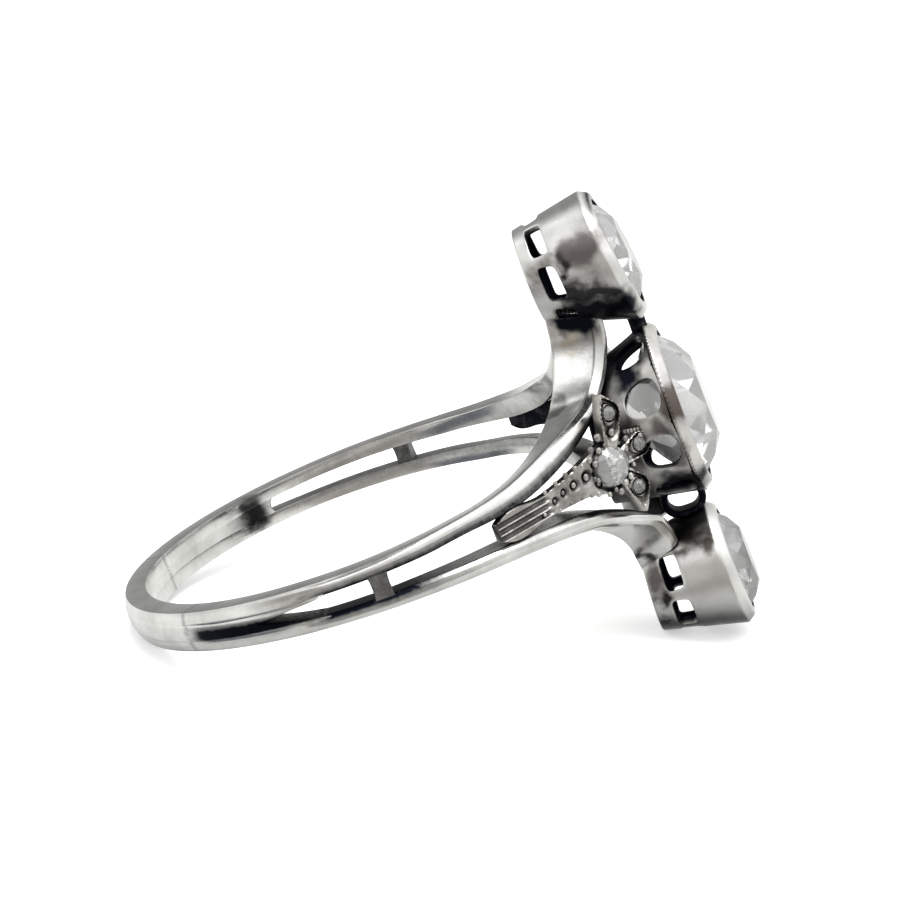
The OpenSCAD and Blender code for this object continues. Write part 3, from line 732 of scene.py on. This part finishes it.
GRAIN_SPOTS = np.array([
    [1.92, 0.5, 0.08], [2.47, 0.58, 0.1], [2.75, 0.5, 0.06], [2.99, 0.66, 0.12], [3.25, 0.5, 0.07],
    [3.49, 0.7, 0.12], [3.82, 0.66, 0.08], [4.22, 0.72, 0.13], [4.42, 1.02, 0.13], [4.56, 1.22, 0.08],
    [4.88, 1.3, 0.15], [5.2, 1.15, 0.1], [5.55, 1.22, 0.14], [4.12, 0.35, 0.08], [4.18, -0.02, 0.1],
    [1.6, -0.22, 0.07], [2.3, -0.38, 0.06], [2.85, -0.36, 0.08], [3.35, -0.4, 0.07], [3.8, -0.48, 0.09],
    [4.11, -0.58, 0.11], [4.55, -0.8, 0.1], [5.09, -0.92, 0.12], [5.5, -0.9, 0.09], [6.05, 0.75, 0.12],
    [6.02, -0.25, 0.09], [6.71, 0.55, 0.15]])


def on_plate(points, side):
    """Points given along the plate, along the finger and out from the plate's face, moved to their
    place on a shoulder. The far shoulder is the near one mirrored, and lies higher."""
    points = np.asarray(points, float)
    turn = np.radians(90 - SHOULDER_ANGLE)
    out = SHOULDER_R + points[..., 2]
    across = points[..., 0] * np.sin(turn) - out * np.cos(turn)
    along = points[..., 1]
    if side == "far":
        across, along = -across, along + FAR_LIFT
    return np.stack([points[..., 0] * np.cos(turn) + out * np.sin(turn), across, along], -1)


def plate(side):
    """The tongue and the plate behind the round setting: a section that widens along the plate. Its
    face dips into three flutes on the tongue, into round seats for the chips and into a moat round
    the setting, and is rough past the flutes. It is painted darker the deeper it dips, and nearly
    black below: painted shade."""
    start = TONGUE_START[side]
    table = np.concatenate([[[start, TONGUE_HALF - 0.08, 0.08 - TONGUE_HALF],
                             [start + 0.15, TONGUE_HALF, -TONGUE_HALF]], PLATE])
    rows = drawn_out(table, table[:, 0], 120)
    share = np.linspace(0.03, 0.97, 49)
    x, upper, lower = (column[:, None] for column in rows.T)
    y = lower + (upper - lower) * share
    flute = sum(np.exp(-((y - k * FLUTE_STEP) / FLUTE_HALF) ** 4) for k in (-1, 0, 1))
    fade = between(x, FLUTE_END, FLUTE_END - FLUTE_STEP)
    pit = sum(np.exp(-(((x - px) ** 2 + (y - py) ** 2) / r ** 2) ** 2) for px, py, r in PITS)
    from_rose = np.hypot(x - ROSE_AT[0], y - ROSE_AT[1]) - ROSE_R
    pit = pit + MOAT_SHARE * np.exp(-((from_rose - MOAT_AT) / MOAT_HALF) ** 2)
    pit = pit + ROUGH_SHARE * (1 + np.sin(9 * x + 4 * y) * np.sin(13 * y - 3 * x)) * (x > FLUTE_END)
    dips = FLUTE_DEPTH * flute * fade + PIT_DEPTH * pit
    face = np.stack([x + 0 * y, y, -dips], -1)
    low, high = -EDGE_BEVEL, EDGE_BEVEL - SHOULDER_T[side]
    edge = [(upper, low), (upper, high), (upper - EDGE_BEVEL, high - EDGE_BEVEL),
            (lower + EDGE_BEVEL, high - EDGE_BEVEL), (lower, high), (lower, low)]
    sides = [np.stack([x, at, np.full_like(x, height)], -1) for at, height in edge]
    dark = np.concatenate([PLATE_SHADE + SHADE_BY_DEPTH * dips, EDGE_SHADE + 0 * x], axis=1)
    body = skin(on_plate(np.concatenate([face] + sides, axis=1), side), capped=True)
    return body, np.clip(dark, 0.1, 0.9).ravel()


def rose_setting(side):
    """The round setting: a profile of distance from the stone's middle and height, turned round it."""
    seat, rim = ROSE_R + STONE_GAP, ROSE_R + SETTING_WALL
    profile = rounded([(rim, -SHOULDER_T[side]), (rim, -0.16), (seat + 0.02, -0.14), (seat, -0.32)],
                      0.05, closed=False)
    points = circled(ROSE_AT, profile[:, :1], turns(72), profile[:, 1:])
    return skin(on_plate(points, side), capped=True)


def leaf_edge(leaf, turn):
    """How far a leaf's edge lies from its stone in each direction: the least distance to any of the
    lines that touch its three circles, round the stone, at its tip and at its neck."""
    stone, tip = np.array(leaf[:2]), np.array(leaf[2:])
    neck = (ROSE_AT + stone) / 2
    ways = np.linspace(0, 2 * np.pi, 720, endpoint=False)
    normal = np.stack([np.cos(ways), np.sin(ways)])
    touch = np.max([(middle - stone) @ normal + radius for middle, radius in
                    ((stone, LEAF_EDGE), (tip, LEAF_TIP_R), (neck, LEAF_NECK_R))], axis=0)
    facing = np.cos(turn[:, None] - ways[None])
    return np.min(np.where(facing > 0.02, touch / np.maximum(facing, 0.02), np.inf), axis=1)


def leaf(name, side):
    """A leaf: rings of points between its outline and the seat of its stone, with a raised rim round
    the edge, a hollow within, and a narrow collar round the stone. The hollow and the stone's seat
    are painted dark: painted shade."""
    middle = LEAVES[name][:2]
    turn = turns(LEAF_SIDES)
    edge = leaf_edge(LEAVES[name], turn)
    seat = LEAF_STONE_R + STONE_GAP
    rings = rounded([(1, -SHOULDER_T[side]), (1, 0.03), (0.72, 0.07), (0.5, -0.12), (0.2, -0.12), (0.08, 0),
                     (0, 0), (0, -0.3)], 0.05, 3, closed=False)
    reach = seat + rings[:, :1] * (edge - seat)
    worn = 0.03 * np.sin(17 * turn + middle[0]) * between(rings[:, 1:], 0, 0.07)
    points = circled(middle, reach, turn, rings[:, 1:] + worn)
    dark = np.r_[0.6, np.repeat(LEAF_SHADE, 3), 1]
    body = skin(kept_out(on_plate(points, side), CENTRE_COLLET), capped=True)
    return body, np.repeat(dark, LEAF_SIDES)


def face_way(side):
    """The way that a shoulder's face looks."""
    return on_plate([0, 0, 1], side) - on_plate([0, 0, 0], side)


def beads(side):
    """Grains in a row along the line of the beads, a step apart."""
    line = np.array(BEADS)
    spots = spots_along(line[:, :2])
    at = np.linspace(0, spots[-1], int(round(spots[-1] / BEAD_STEP)) + 1)
    row = np.stack([np.interp(at, spots, line[:, i]) for i in range(4)], -1)
    return grains(on_plate(row[:, :3], side), row[:, 3], face_way(side))


def raised_grains(side):
    """All grains of a shoulder: those on the plate, the claws round the setting, which are a little
    uneven in step, reach and size, one in each pit, and the beads."""
    k = np.arange(CLAWS)
    turn, reach = turns(CLAWS) + 0.4 + 0.12 * np.sin(4 * k), ROSE_R + 0.1 + 0.03 * np.sin(3 * k)
    claws = np.column_stack([circled(ROSE_AT, reach, turn, 0.03), 0.1 + 0.035 * np.sin(5 * k)])
    spots = np.concatenate([np.insert(GRAIN_SPOTS, 2, -0.03, axis=1), claws])
    raised = grains(on_plate(spots[:, :3], side), spots[:, 3] * GRAIN_SWELL, face_way(side))
    pits = np.insert(PITS, 2, PIT_GRAIN_AT, axis=1)
    raised += grains(on_plate(pits[:, :3], side), pits[:, 3] * PIT_GRAIN_SHARE, face_way(side))
    return raised + beads(side)


shoulder_finish = platinum("engraved_platinum", polish=(0.2, 0.36), hidden=(0.06, 0.42),
                           tones=((0.74, 0.725, 0.69, 1), (0.36, 0.335, 0.31, 1)))
for side in ("near", "far"):
    body, body_dark = plate(side)
    collar = rose_setting(side)
    # Painted shade: the round setting's collar is painted nearly black.
    collar_dark = np.full(len(collar[0]), COLLAR_SHADE)
    leaves, leaf_dark = zip(*(leaf(name, side) for name in LEAVES))
    raised = raised_grains(side)
    raised_dark = np.repeat(0.3 + 0.25 * np.sin(5 * np.arange(len(raised))), len(raised[0][0]))
    made("shoulder_" + side, [body, collar, *leaves] + raised, shoulder_finish, ["mount"],
         grime_and_shade=np.concatenate([body_dark, collar_dark, *leaf_dark, raised_dark]))

# Three old-cut diamonds
# Each main stone is an old cut with a small octagonal table, a high crown of stars, kites and
# paired girdle facets, and a pavilion that ends in a small flat culet.
TABLE_SHARE = 0.54
STAR_SHARE = 0.76
GIRDLE_T = 0.07
LOWER_SHARE = 0.56
CULET_SHARE = 0.08
DEPTH_SHARE = 0.33


def cut_diamond(name, colour, inclusions):
    """Clear cut diamond: glass with a diamond's index, and a slight greyish clouding inside it."""
    material, tree, shader = material_of(name, {"Transmission Weight": 0.72, "IOR": 2.42})
    spot = wired(tree, "TexCoord", output="Object")
    clouds = wired(tree, "TexNoise", {"Vector": spot, "Scale": 700, "Detail": 3})
    faint = wired(tree, "MapRange", {"Value": clouds, "From Min": 0.4, "From Max": 0.75})
    tree.links.new(blended(tree, faint, colour, inclusions), shader.inputs["Base Color"])
    smears = wired(tree, "MapRange", {"Value": clouds, "From Min": 0.5, "From Max": 0.8,
                                      "To Min": 0.06, "To Max": 0.2})
    tree.links.new(smears, shader.inputs["Roughness"])
    return material


def facet_ring(radius, height, turn, count=8):
    """Corners at one height, spaced evenly round the stone's axis and turned by a share of a step."""
    return circled((0, 0), radius, turns(count) + turn * 2 * np.pi / count, height)


def old_cut(c):
    """An old-cut stone in its collet. The star's corners lie where the kites are flat, on the line from
    a table's corner to the girdle, and so do the pavilion's corners."""
    radius = c["rim_d"] / 2 - WALL - STONE_GAP
    crown, half = c["crown"], np.cos(np.pi / 8)
    table_r, star_r = radius * TABLE_SHARE, radius * STAR_SHARE
    lower_r, culet_r = radius * LOWER_SHARE, radius * CULET_SHARE
    deep = -2 * radius * DEPTH_SHARE
    star_z = crown * (radius - star_r * half) / (radius - table_r)
    lower_z = -GIRDLE_T + (deep + GIRDLE_T) * (radius - lower_r * half) / (radius - culet_r * half)
    corners = np.concatenate([
        facet_ring(table_r, crown, 0), facet_ring(star_r, star_z, 0.5), facet_ring(radius, 0, 0, 16),
        facet_ring(radius, -GIRDLE_T, 0, 16), facet_ring(lower_r, lower_z, 0.5),
        facet_ring(culet_r, deep, 0.5)])
    table, star, girdle, under, lower, culet = 0, 8, 16, 32, 48, 56
    faces = [list(range(8)), list(range(63, 55, -1))]
    for k in range(8):
        n, back, g = (k + 1) % 8, (k - 1) % 8, girdle + 2 * k
        g_half, g_next = g + 1, girdle + (2 * k + 2) % 16
        u, u_half, u_next = under + 2 * k, under + 2 * k + 1, under + (2 * k + 2) % 16
        faces += [[table + k, star + k, table + n], [table + k, star + back, g, star + k],
                  [star + k, g, g_half], [star + k, g_half, g_next],
                  [g, u, u_half, g_half], [g_half, u_half, u_next, g_next],
                  [u, lower + k, u_half], [u_half, lower + k, u_next],
                  [u, lower + back, culet + back, culet + k, lower + k]]
    tilt = np.radians(c["rim_lean"])
    axis = np.array([np.cos(tilt), 0, np.sin(tilt)])
    aside = np.array([np.sin(tilt), 0, -np.cos(tilt)])
    seat = np.array([c["rim"][0], 0, c["rim"][1]])
    return outward(seat + corners @ np.array([aside, [0, 1, 0], axis]), faces)


# Each main stone's glass has its own grey: the low stone's much darker grey is painted shade.
for name, c, clear, clouded in (("top", TOP_COLLET, 0.76, 0.6), ("centre", CENTRE_COLLET, 0.68, 0.5),
                                ("low", LOW_COLLET, 0.38, 0.24)):
    stone_finish = cut_diamond("diamond_" + name, (clear,) * 3 + (1,), (clouded,) * 3 + (1,))
    made("diamond_" + name, [old_cut(c)], stone_finish, ["stone_" + name], crease=1)

# Rose-cut diamonds
# The shoulders' stones are rose cuts, flat below and domed above: one in each round setting and a
# small one in each leaf. They are thin slices of clear diamond, a little grey.
ROSE_H, ROSE_BASE = 0.5, 0.28
LEAF_STONE_H, LEAF_STONE_BASE = 0.2, 0.16
ROSE_BEND = (0.6, 0.72)
ROSE_TABLE = 0.36


def rose_cut(middle, radius, height, base, side):
    """A rose cut: rings of twelve, twelve, six and six corners from its flat base up to a small table,
    with long triangles from the girdle up and flat ones over the dome."""
    corners = np.concatenate([
        facet_ring(radius, -base, 0, 12), facet_ring(radius, 0, 0, 12),
        facet_ring(radius * ROSE_BEND[1], height * ROSE_BEND[0], 0, 6),
        facet_ring(radius * ROSE_TABLE, height, 0.5, 6)])
    faces = [list(range(11, -1, -1)), list(range(30, 36))]
    for k in range(12):
        faces.append([k, (k + 1) % 12, 12 + (k + 1) % 12, 12 + k])
    for k in range(6):
        n, g = (k + 1) % 6, 12 + 2 * k
        faces += [[24 + k, g, g + 1], [24 + k, g + 1, 24 + n], [24 + n, g + 1, 12 + (2 * k + 2) % 12],
                  [24 + k, 24 + n, 30 + k], [30 + k, 24 + n, 30 + n]]
    return outward(on_plate(corners + [middle[0], middle[1], 0], side), faces)


rose_diamond = cut_diamond("rose_cut_diamond", (0.78, 0.8, 0.78, 1), (0.55, 0.57, 0.56, 1))
chip_diamond = cut_diamond("chip_diamond", (0.3, 0.3, 0.29, 1), (0.16, 0.16, 0.155, 1))
for side in ("near", "far"):
    stone = rose_cut(ROSE_AT, ROSE_R, ROSE_H, ROSE_BASE, side)
    made("rose_cut_" + side, [stone], rose_diamond, ["rose_" + side], crease=1)
    for name, place in LEAVES.items():
        stone = rose_cut(place[:2], LEAF_STONE_R, LEAF_STONE_H, LEAF_STONE_BASE, side)
        made("leaf_stone_" + side + "_" + name, [stone], chip_diamond, ["leaf_" + side + "_" + name],
             crease=1)

# Table, light and camera
# The ring lies on a white table in a white studio, under one soft box. Darker and brighter things
# stand round it, such as furniture and windows, which the polished metal mirrors. The camera sees
# only white past the table.
FLOOR_HALF = 1.5
# SKY holds the studio's grey at an elevation. THINGS holds what stands in it: from which azimuth to
# which, from which elevation to which, how softly it ends, all in degrees, and its colour.
SKY = ((-50, 0.7), (-12, 1), (20, 0.8), (40, 1.1))
THINGS = (((-140, -40), (-4, 24), 12, (0.42, 0.4, 0.38, 1)),
          ((-125, -50), (-38, -6), 8, (0.4, 0.38, 0.36, 1)),
          ((-178, -120), (-50, -24), 3, (0.16, 0.17, 0.19, 1)),
          ((92, 146), (2, 68), 8, (0.27, 0.27, 0.27, 1)),
          ((-212, -136), (50, 76), 6, (0.34, 0.34, 0.34, 1)),
          ((146, 170), (34, 58), 5, (1.35, 1.35, 1.35, 1)),
          ((-136, -104), (26, 54), 5, (1.7, 1.7, 1.7, 1)),
          ((-25, 50), (26, 72), 8, (1.5, 1.5, 1.5, 1)))
BOX_AT = (0.02, -0.05, 0.3)
BOX_SIZE = 0.19
BOX_WATTS = 0.45
floor_mesh = bpy.data.meshes.new("table_top")
floor_mesh.from_pydata([(x, y, 0) for x, y in ((-1, -1), (1, -1), (1, 1), (-1, 1))], [], [(0, 1, 2, 3)])
floor_mesh.transform(Matrix.Scale(FLOOR_HALF, 4))
floor = in_scene("table_top", floor_mesh)
floor.visible_glossy = False
paper, paper_tree, paper_shader = material_of("white_paper", {
    "Roughness": 0.9, "Specular IOR Level": 0.1, "Emission Strength": 0.5, "Emission Color": (1, 1, 1, 1)})
paper_grain = wired(paper_tree, "TexNoise", {"Scale": 400, "Detail": 3})
paper_tree.links.new(blended(paper_tree, paper_grain, (0.93, 0.93, 0.93, 1), (0.9, 0.9, 0.9, 1)),
                     paper_shader.inputs["Base Color"])
floor_mesh.materials.append(paper)

studio = bpy.data.worlds.new("studio")
bpy.context.scene.world = studio
studio.use_nodes = True
air = studio.node_tree
way = wired(air, "TexCoord", output="Generated")
height = wired(air, "Math", {0: wired(air, "SeparateXYZ", {0: way}, output="Z")}, operation="ARCSINE")
elevation = wired(air, "Math", {0: height}, operation="DEGREES")
level = wired(air, "MapRange", {"Value": elevation, "From Min": -90, "From Max": 90})
sky = wired(air, "ValToRGB", {"Fac": level})
ramp = sky.node.color_ramp
ramp.elements[0].color = (0.5, 0.5, 0.49, 1)
ramp.elements[1].color = (1.2, 1.2, 1.2, 1)
for degrees, grey in SKY:
    ramp.elements.new((degrees + 90) / 180).color = (grey, grey, grey * 0.98, 1)
flat_way = wired(air, "VectorMath", {0: way, 1: (1, 1, 0)}, operation="MULTIPLY")
flat_way = wired(air, "VectorMath", {0: flat_way}, operation="NORMALIZE")


def with_thing(sky, azimuths, elevations, softness, colour):
    """The studio with something of another brightness in it: a patch between two azimuths and two
    elevations, in degrees, whose edges fade over the softness on either side of them."""
    middle = np.radians(sum(azimuths) / 2)
    turned = wired(air, "VectorMath", {0: flat_way, 1: (np.cos(middle), np.sin(middle), 0)},
                   operation="DOT_PRODUCT")
    turned = wired(air, "Math", {0: turned}, operation="ARCCOSINE")
    turned = wired(air, "Math", {0: turned}, operation="DEGREES")
    raised = wired(air, "Math", {0: elevation, 1: sum(elevations) / 2}, operation="SUBTRACT")
    raised = wired(air, "Math", {0: raised}, operation="ABSOLUTE")
    within = [soft_step(air, value, (high - low) / 2 + softness, (high - low) / 2 - softness)
              for value, (low, high) in ((turned, azimuths), (raised, elevations))]
    both = wired(air, "Math", {0: within[0], 1: within[1]}, operation="MULTIPLY")
    return blended(air, both, sky, colour)


for azimuths, elevations, softness, colour in THINGS:
    sky = with_thing(sky, azimuths, elevations, softness, colour)
seen = wired(air, "LightPath", output="Is Camera Ray")
air.links.new(blended(air, seen, sky, (1, 1, 1, 1)), air.nodes["Background"].inputs["Color"])


def stood(thing, axes, place):
    """Stands a lamp or a camera at a place, with its own three axes along the given ones."""
    thing.matrix_world = Matrix(np.vstack([np.column_stack([*axes, place]), [0, 0, 0, 1]]).tolist())


lamp = bpy.data.lights.new("overhead_box", "AREA")
lamp.size, lamp.energy = BOX_SIZE, BOX_WATTS
away = unit(BOX_AT - HOLE_MIDDLE)
aside = unit(np.cross([0.01, 1, 0.02], away))
stood(in_scene("overhead_box", lamp), (aside, np.cross(away, aside), away), BOX_AT)

# The camera looks at the ring almost along its shoulders, from a little above. The view was found by
# fitting the band's circles and the collets' rims: the ring's head is raised by the tilt, the rest
# is the camera's place round it, its distance, its offset, and its focal length in picture widths.
VIEW_AZIMUTH, VIEW_ELEVATION, VIEW_TILT = np.radians([2.498, 15.424, 19.827])
VIEW_DISTANCE = 105.0
VIEW_OFFSET = (3.466, 2.651)
FOCAL_SHARE = 2758.28 / 906


def ring_way(direction):
    """A direction given with the head raised by the tilt, on the ring's own axes."""
    x, y, z = direction
    return np.array([x * np.cos(VIEW_TILT) + z * np.sin(VIEW_TILT), y,
                     z * np.cos(VIEW_TILT) - x * np.sin(VIEW_TILT)])


sin_a, cos_a = np.sin(VIEW_AZIMUTH), np.cos(VIEW_AZIMUTH)
sin_e, cos_e = np.sin(VIEW_ELEVATION), np.cos(VIEW_ELEVATION)
rightward, upward = (cos_a, sin_a, 0), (-sin_a * sin_e, cos_a * sin_e, cos_e)
backward = (sin_a * cos_e, -cos_a * cos_e, sin_e)
view_axes = np.array([ring_way(direction) for direction in (rightward, upward, backward)])
eye = np.array([*VIEW_OFFSET, VIEW_DISTANCE]) @ view_axes
lens = bpy.data.cameras.new("camera")
lens.sensor_width = 36
lens.lens = FOCAL_SHARE * lens.sensor_width
lens.clip_start, lens.clip_end = 0.005, 10
camera = in_scene("camera", lens)
stood(camera, view_axes @ RING_AXES, placed(eye))
bpy.context.scene.camera = camera
bpy.context.scene.view_settings.view_transform = "Standard"
